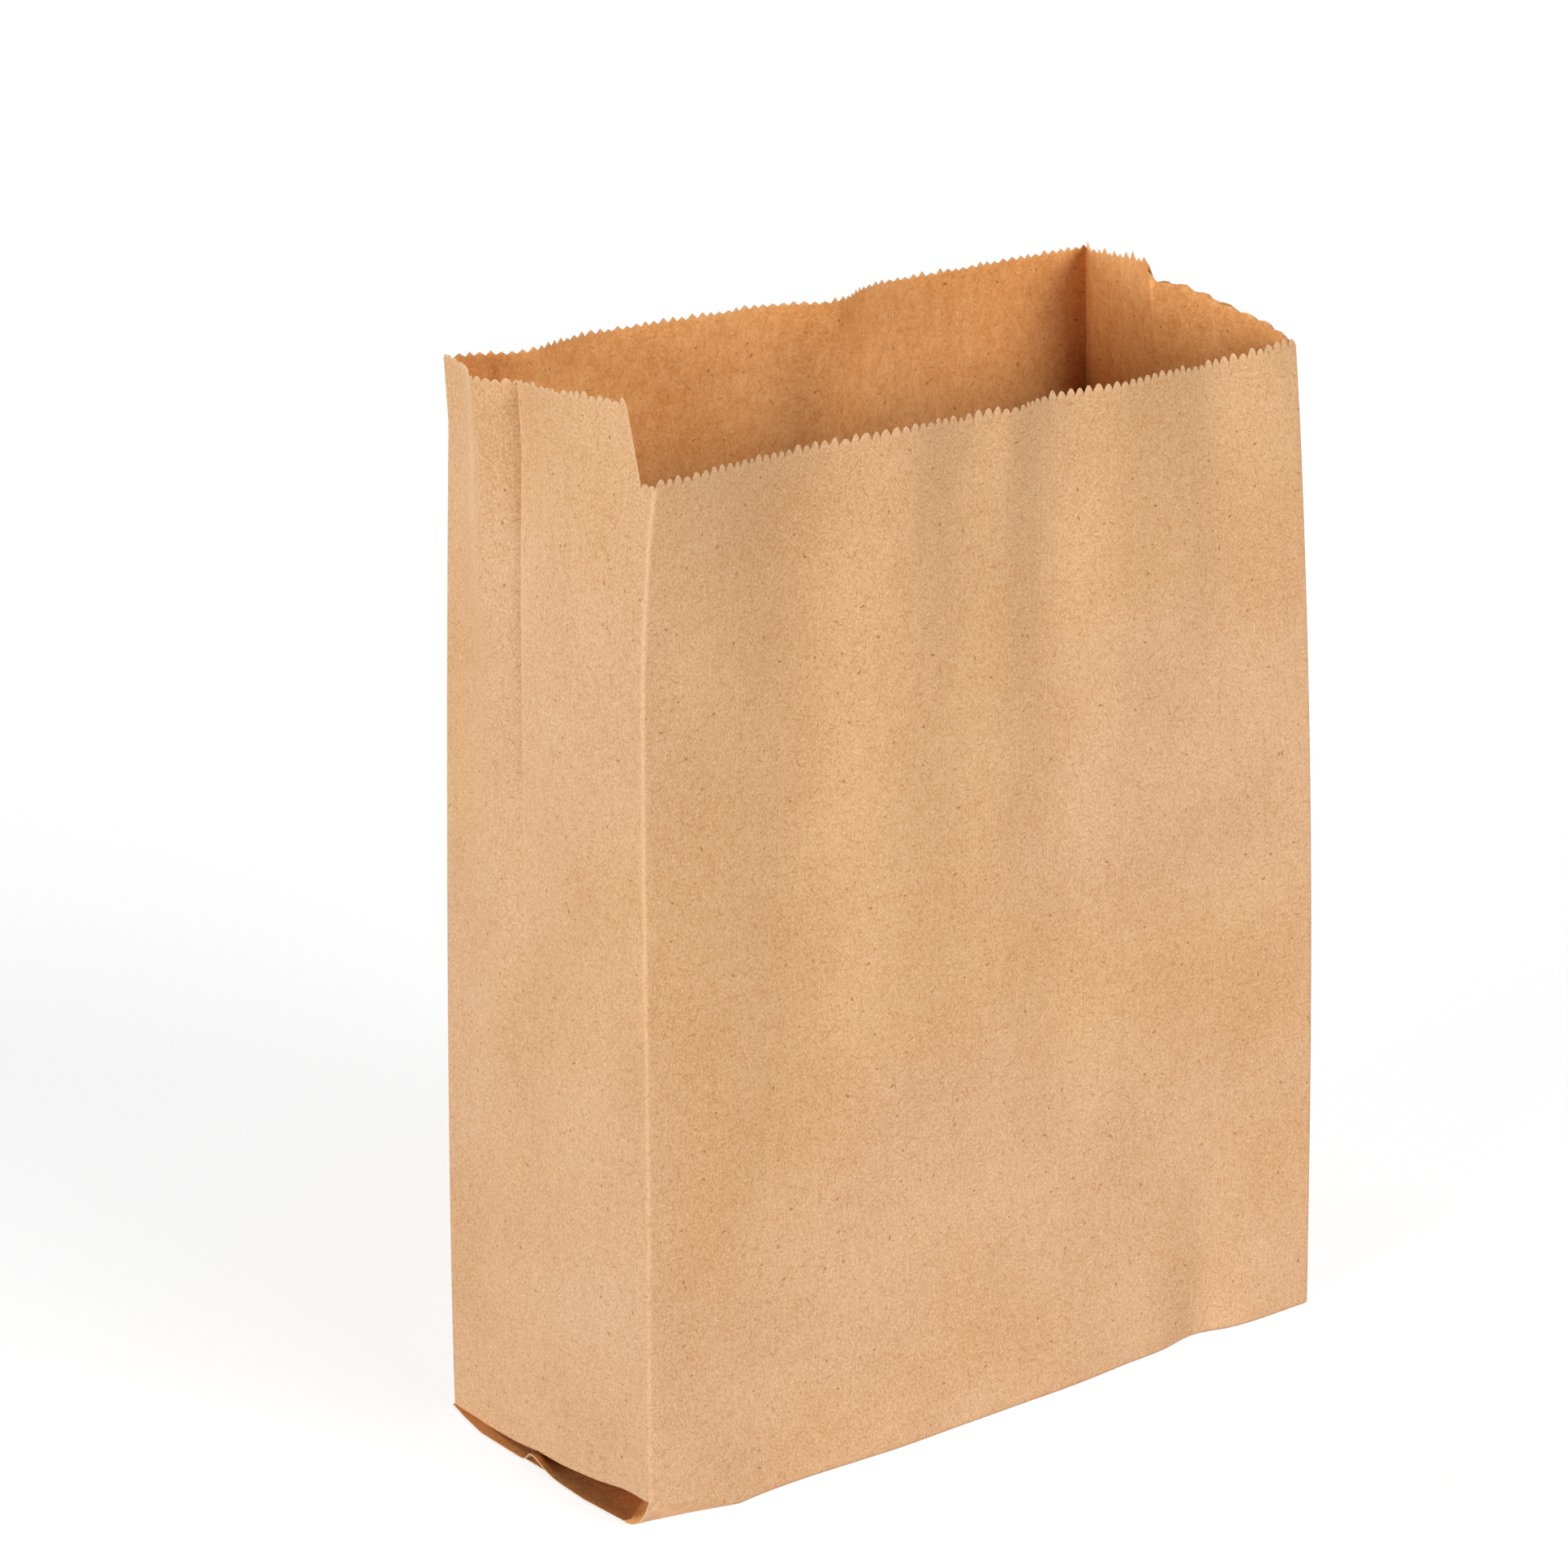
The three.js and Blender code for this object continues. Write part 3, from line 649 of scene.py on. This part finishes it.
def bag_mesh(sheet):
    """Closed shell of the paper's thickness round the sheet, as a Blender mesh."""
    points = np.concatenate(sheet.points)
    flat = np.concatenate(sheet.flat)
    wear_and_highlight = np.concatenate(sheet.wear_and_highlight)
    rounded = np.round(points, MERGE_DIGITS)
    _, first, merged = np.unique(rounded, axis=0, return_index=True, return_inverse=True)
    merged = merged.ravel()
    points = points[first]
    wear_and_highlight = wear_and_highlight[first]
    faces, corners = [], []
    for face in sheet.faces:
        kept = [k for n, k in enumerate(face) if merged[k] != merged[face[n - 1]]]
        if len(kept) > 2:
            faces.append([int(merged[k]) for k in kept])
            corners.append(kept)
    normals = np.zeros_like(points)
    for face in faces:
        ring = points[face]
        area = np.cross(ring[1] - ring[0], ring[2] - ring[0])
        if len(face) == 4:
            area = area + np.cross(ring[2] - ring[0], ring[3] - ring[0])
        normals[face] += area / max(np.linalg.norm(area), TINY)
    normals /= np.maximum(np.linalg.norm(normals, axis=1, keepdims=True), TINY)

    count = len(points)
    shell = np.concatenate([points + normals * PAPER / 2, points - normals * PAPER / 2])
    edges = {}
    for n, face in enumerate(faces):
        for k, a in enumerate(face):
            edges[(a, face[(k + 1) % len(face)])] = (n, k)
    polygons = [*faces, *[[count + i for i in reversed(face)] for face in faces]]
    places = [*[flat[c] for c in corners], *[flat[c[::-1]] + INSIDE_PLACE for c in corners]]
    slots = [OUTSIDE] * len(faces) + [INSIDE] * len(faces)
    for (a, b), (n, k) in edges.items():
        if (b, a) not in edges:
            polygons.append([b, a, count + a, count + b])
            near = flat[corners[n][k]], flat[corners[n][(k + 1) % len(faces[n])]]
            places.append(np.array([near[1], near[0], near[0], near[1]]))
            slots.append(CUT)

    mesh = bpy.data.meshes.new("kraft_bag")
    mesh.from_pydata((shell * MM + shift).tolist(), [], polygons)
    paper = mesh.uv_layers.new(name="paper")
    paper.uv.foreach_set("vector", np.concatenate(places).astype(np.float32).ravel())
    # Wear and painted highlight, on both faces of the paper
    mesh.attributes.new("wear_and_highlight", "FLOAT", "POINT").data.foreach_set("value", np.tile(wear_and_highlight, 2))
    mesh.polygons.foreach_set("material_index", slots)
    mesh.shade_smooth()
    mesh.set_sharp_from_angle(angle=math.radians(SHARP_ANGLE))
    mesh.validate()
    return mesh


FOOT_LEVEL = 0.05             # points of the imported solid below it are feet


def frame_shift():
    """From the middle of the base to the frame's origin, in metres."""
    co = np.array([v.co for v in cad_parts[NODE].data.vertices])
    foot = co[co[:, 2] < FOOT_LEVEL * MM]
    right_x = foot[:, 0].max() - (front_right.at(np.zeros(1))[0, 0] + SOLID_PAPER / 2) * MM
    back_y = foot[foot[:, 0] < 0][:, 1].max() - (DEPTH + SOLID_PAPER) / 2 * MM
    return np.array([right_x, back_y, 0])


shift = frame_shift()


class Nodes:
    """Short calls for the nodes of one material."""

    def __init__(self, name):
        self.material = bpy.data.materials.new(name)
        self.material.use_nodes = True
        self.tree = self.material.node_tree
        self.shader = self.tree.nodes["Principled BSDF"]

    def new(self, kind, inputs=(), **settings):
        made = self.tree.nodes.new(kind)
        for name, value in settings.items():
            setattr(made, name, value)
        for name, value in dict(inputs).items():
            self.set(made.inputs[name], value)
        return made

    def set(self, socket, value):
        if isinstance(value, bpy.types.NodeSocket):
            self.tree.links.new(value, socket)
        else:
            socket.default_value = value

    def math(self, operation, a, b=0.0):
        made = self.new("ShaderNodeMath", operation=operation)
        self.set(made.inputs[0], a)
        self.set(made.inputs[1], b)
        return made.outputs[0]

    def smoothstep(self, value, low, high, to_low=0.0, to_high=1.0):
        made = self.new("ShaderNodeMapRange", interpolation_type="SMOOTHSTEP")
        for socket, x in zip(made.inputs, (value, low, high, to_low, to_high)):
            self.set(socket, x)
        return made.outputs[0]

    def mix(self, share, a, b):
        made = self.new("ShaderNodeMix", data_type="RGBA")
        self.set(made.inputs["Factor"], share)
        self.set(made.inputs["A"], a)
        self.set(made.inputs["B"], b)
        return made.outputs["Result"]

    def scaled(self, vector, scale):
        made = self.new("ShaderNodeVectorMath", operation="MULTIPLY")
        self.set(made.inputs[0], vector)
        self.set(made.inputs[1], scale)
        return made.outputs[0]

    def sized(self, vector, size):
        return self.scaled(vector, (1 / size[0], 1 / size[1], 1))

    def noise(self, vector, detail=1.0):
        made = self.new("ShaderNodeTexNoise", {"Vector": vector, "Scale": 1.0, "Detail": detail},
                        noise_dimensions="2D")
        return made.outputs["Fac"]

    def strokes(self, paper, stretch, spacing, width, half_length, kept):
        """Short straight strokes, at most one to a cell: 1 on a stroke, 0 off it."""
        at = self.sized(self.scaled(paper, stretch), (spacing, spacing))
        cell = self.new("ShaderNodeTexVoronoi", {"Vector": at, "Scale": 1.0}, voronoi_dimensions="2D")
        away = self.new("ShaderNodeVectorMath", operation="SUBTRACT")
        self.set(away.inputs[0], at)
        self.set(away.inputs[1], cell.outputs["Position"])
        random = self.new("ShaderNodeSeparateColor", {"Color": cell.outputs["Color"]})
        turn = self.new("ShaderNodeVectorRotate", {"Vector": away.outputs[0]}, rotation_type="Z_AXIS")
        self.set(turn.inputs["Angle"], self.math("MULTIPLY", random.outputs[0], math.pi))
        parts = self.new("ShaderNodeSeparateXYZ", {"Vector": turn.outputs[0]})
        across = self.math("ABSOLUTE", parts.outputs[0])
        along = self.math("ABSOLUTE", parts.outputs[1])
        thin = self.smoothstep(across, STROKE_CORE * width / spacing, width / spacing, 1.0, 0.0)
        reach = self.math("MULTIPLY", random.outputs[1], half_length / spacing)
        short = self.math("LESS_THAN", along, reach)
        chosen = self.math("LESS_THAN", random.outputs[2], kept)
        return self.math("MULTIPLY", self.math("MULTIPLY", thin, short), chosen)


# Colours of the paper's faces, from 0 to 255, and the strength of each size of its grain
KRAFTS = {
    "kraft_outside": dict(
        warm=(217, 167, 118), cool=(219, 171, 127), speck=(152, 92, 42), pale=(240, 205, 165),
        grain=(1.15, 0.45, 0.25, 0.3)),
    # The inner face is deeper and more saturated than the outer: the paper's own colour with painted glow of
    # light shining through it and bouncing inside the bag
    "kraft_inside_painted_glow": dict(
        warm=(224, 155, 87), cool=(227, 160, 94), speck=(126, 72, 32), pale=(235, 190, 140),
        grain=(0.75, 0.5, 0.5, 0.5)),
    "kraft_cut": dict(
        warm=(233, 196, 154), cool=(233, 196, 154), speck=(200, 160, 120), pale=(240, 210, 170),
        grain=(0.2, 0.1, 0, 0)),
}
GRAIN_REACH = (19, 27, 31)    # levels of red, green and blue from the mean colour to the palest grain
# Sizes of the grain in millimetres, across and along the paper, from fine to cloudy
GRAIN_SIZES = [(0.45, 0.6), (1.1, 1.4), (3.2, 4.2), (26, 34)]
TINT_SIZE = (110, 80)
TINT_DETAIL = 2.0
TINT_BY_HEIGHT = 0.0012       # the paper is warmer towards the mouth
TINT_RANGE = (0.2, 0.5)
# Strokes: stretch of their cells, spacing, width and half length in millimetres, share of cells with one
HAIRS = ((1.13, 0.93, 1), 3.6, 0.16, 1.4, 0.8)
FIBRES = ((1, 1, 1), 3.4, 0.22, 1.1, 0.8)
SPECKS = ((0.97, 1.07, 1), 8.0, 0.34, 0.5, 0.5)
STROKE_CORE = 0.35            # share of a stroke's half width that is not faded
# Share of pale colour laid on by wear and by the painted highlight along creases and tooth tips
WEAR_AND_HIGHLIGHT_SHARE = 0.5
HAIR_SHARE = 0.2
FIBRE_SHARE = 0.3
SPECK_SHARE = 0.7
RELIEF = 0.1 * MM
RELIEF_STRENGTH = 0.25
ROUGHNESS = 0.82
SPECULAR = 0.3


def linear(colour, paler=0.0):
    """A colour of 0 to 255, moved towards the palest grain by a share, as a linear colour."""
    parts = [(c + paler * reach) / 255 for c, reach in zip(colour, GRAIN_REACH)]
    return (*[((c + 0.055) / 1.055) ** 2.4 if c > 0.04 else c / 12.92 for c in parts], 1.0)


def kraft(name, warm, cool, speck, pale, grain):
    """Kraft paper: two tints in soft clouds, grain of four sizes, short fibres and dark specks."""
    n = Nodes(name)
    paper = n.new("ShaderNodeUVMap", uv_map="paper").outputs["UV"]
    height = n.new("ShaderNodeSeparateXYZ", {"Vector": paper}).outputs["Y"]
    tint = n.noise(n.sized(paper, TINT_SIZE), TINT_DETAIL)
    tint = n.smoothstep(n.math("SUBTRACT", tint, n.math("MULTIPLY", height, TINT_BY_HEIGHT)), *TINT_RANGE)
    noises = [n.noise(n.sized(paper, size)) for size in GRAIN_SIZES]
    share = 0.5
    for noise, strength in zip(noises, grain):
        share = n.math("ADD", n.math("MULTIPLY", n.math("SUBTRACT", noise, 0.5), strength), share)
    dark = n.mix(tint, linear(warm, -1), linear(cool, -1))
    light = n.mix(tint, linear(warm, 1), linear(cool, 1))
    colour = n.mix(share, dark, light)
    # Pale wear and painted highlight along the creases and at the tips of the teeth
    wear_and_highlight = n.new("ShaderNodeAttribute", attribute_name="wear_and_highlight").outputs["Fac"]
    for mark, share, over in [
        (wear_and_highlight, WEAR_AND_HIGHLIGHT_SHARE, pale),
        (n.strokes(paper, *HAIRS), HAIR_SHARE, pale),
        (n.strokes(paper, *FIBRES), FIBRE_SHARE, speck),
        (n.strokes(paper, *SPECKS), SPECK_SHARE, speck),
    ]:
        colour = n.mix(n.math("MULTIPLY", mark, share), colour, linear(over))
    n.set(n.shader.inputs["Base Color"], colour)
    n.shader.inputs["Roughness"].default_value = ROUGHNESS
    n.shader.inputs["Specular IOR Level"].default_value = SPECULAR
    relief = n.math("ADD", noises[0], noises[1])
    bump = n.new("ShaderNodeBump", {"Strength": RELIEF_STRENGTH, "Distance": RELIEF, "Height": relief})
    n.set(n.shader.inputs["Normal"], bump.outputs["Normal"])
    return n.material


def bag():
    """The bag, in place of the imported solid."""
    sheet = Sheet()
    foot = wall_sheet(sheet)
    pocket_sheet(sheet, foot)
    base_sheet(sheet, foot)
    made = bpy.data.objects.new("kraft_bag", bag_mesh(sheet))
    bpy.context.scene.collection.objects.link(made)
    for name, look in KRAFTS.items():
        made.data.materials.append(kraft(name, **look))
    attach(made, "root")
    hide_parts(NODE)


WHITE = (1, 1, 1)
# Floor: its reach in metres, its drop below the feet in millimetres, its tone and what it adds to look white
FLOOR_REACH = 12.0
FLOOR_DROP = 0.1
FLOOR_TONE = 0.36
FLOOR_GLOW = 0.82


def floor():
    """A pale floor that looks white and keeps the bag's shadow."""
    mesh = bpy.data.meshes.new("floor")
    corners = [(x * FLOOR_REACH, y * FLOOR_REACH, 0) for x, y in ((-1, -1), (1, -1), (1, 1), (-1, 1))]
    mesh.from_pydata(corners, [], [(0, 1, 2, 3)])
    made = bpy.data.objects.new("floor", mesh)
    made.location.z = -FLOOR_DROP * MM
    bpy.context.scene.collection.objects.link(made)
    n = Nodes("pale_floor")
    path = n.new("ShaderNodeLightPath")
    seen = n.math("MAXIMUM", path.outputs["Is Camera Ray"], path.outputs["Is Glossy Ray"])
    seen = n.math("MAXIMUM", seen, path.outputs["Is Transmission Ray"])
    n.set(n.shader.inputs["Emission Strength"], n.math("MULTIPLY", seen, FLOOR_GLOW))
    n.shader.inputs["Emission Color"].default_value = (*WHITE, 1)
    n.shader.inputs["Base Color"].default_value = (FLOOR_TONE, FLOOR_TONE, FLOOR_TONE, 1)
    n.shader.inputs["Roughness"].default_value = 1.0
    n.shader.inputs["Specular IOR Level"].default_value = 0.0
    mesh.materials.append(n.material)


SKY = 0.1
# Lamps: where the light goes, its strength, the lamp's width in degrees and its colour
LAMPS = {
    "front": ((-0.24, 0.9, -0.38), 2.4, 34, WHITE),
    "side": ((0.95, 0.24, -0.055), 3.2, 22, WHITE),
    "rim": ((0.75, -0.65, -0.12), 1.0, 20, (0.8, 0.9, 1.0)),
    "back": ((-0.2, -0.95, -0.1), 1.6, 20, WHITE),
}


def sun(name, towards, strength, angle, colour):
    """A soft lamp, far away."""
    data = bpy.data.lights.new(name, "SUN")
    data.color = colour
    data.energy = strength
    data.angle = math.radians(angle)
    made = bpy.data.objects.new(name, data)
    made.rotation_euler = Vector(towards).to_track_quat("-Z", "Y").to_euler()
    bpy.context.scene.collection.objects.link(made)


def lights():
    """Plain studio light: a faint sky and four lamps."""
    world = bpy.data.worlds.new("studio")
    bpy.context.scene.world = world
    world.use_nodes = True
    sky = world.node_tree.nodes["Background"]
    sky.inputs["Color"].default_value = (*WHITE, 1)
    sky.inputs["Strength"].default_value = SKY
    for name, lamp in LAMPS.items():
        sun(name, *lamp)


# Camera, solved on the creases in the photograph: pixels, millimetres and degrees
PHOTO = 1932
FOCAL = 6015.27
DISTANCE = 1100.0
AZIMUTH = -35.1378
ELEVATION = 19.1855
ROLL = -1.6195
AIM = np.array([-24.998, 0, 149.354])
SENSOR = 36.0


def camera():
    """The photograph's camera."""
    a, e, r = (math.radians(x) for x in (AZIMUTH, ELEVATION, ROLL))
    back_way = Vector((math.sin(a) * math.cos(e), -math.cos(a) * math.cos(e), math.sin(e)))
    right_way = Vector((math.cos(a), math.sin(a), 0))
    up_way = back_way.cross(right_way)
    rolled = right_way * math.cos(r) + up_way * math.sin(r)
    upright = up_way * math.cos(r) - right_way * math.sin(r)
    data = bpy.data.cameras.new("camera")
    data.sensor_width = SENSOR
    data.lens = SENSOR * FOCAL / PHOTO
    made = bpy.data.objects.new("camera", data)
    place = Vector((AIM * MM + shift).tolist()) + back_way * DISTANCE * MM
    turn = Matrix((rolled, upright, back_way)).transposed().to_4x4()
    made.matrix_world = Matrix.Translation(place) @ turn
    bpy.context.scene.collection.objects.link(made)
    bpy.context.scene.camera = made


camera()
bag()
floor()
lights()
bpy.context.scene.view_settings.view_transform = "Standard"
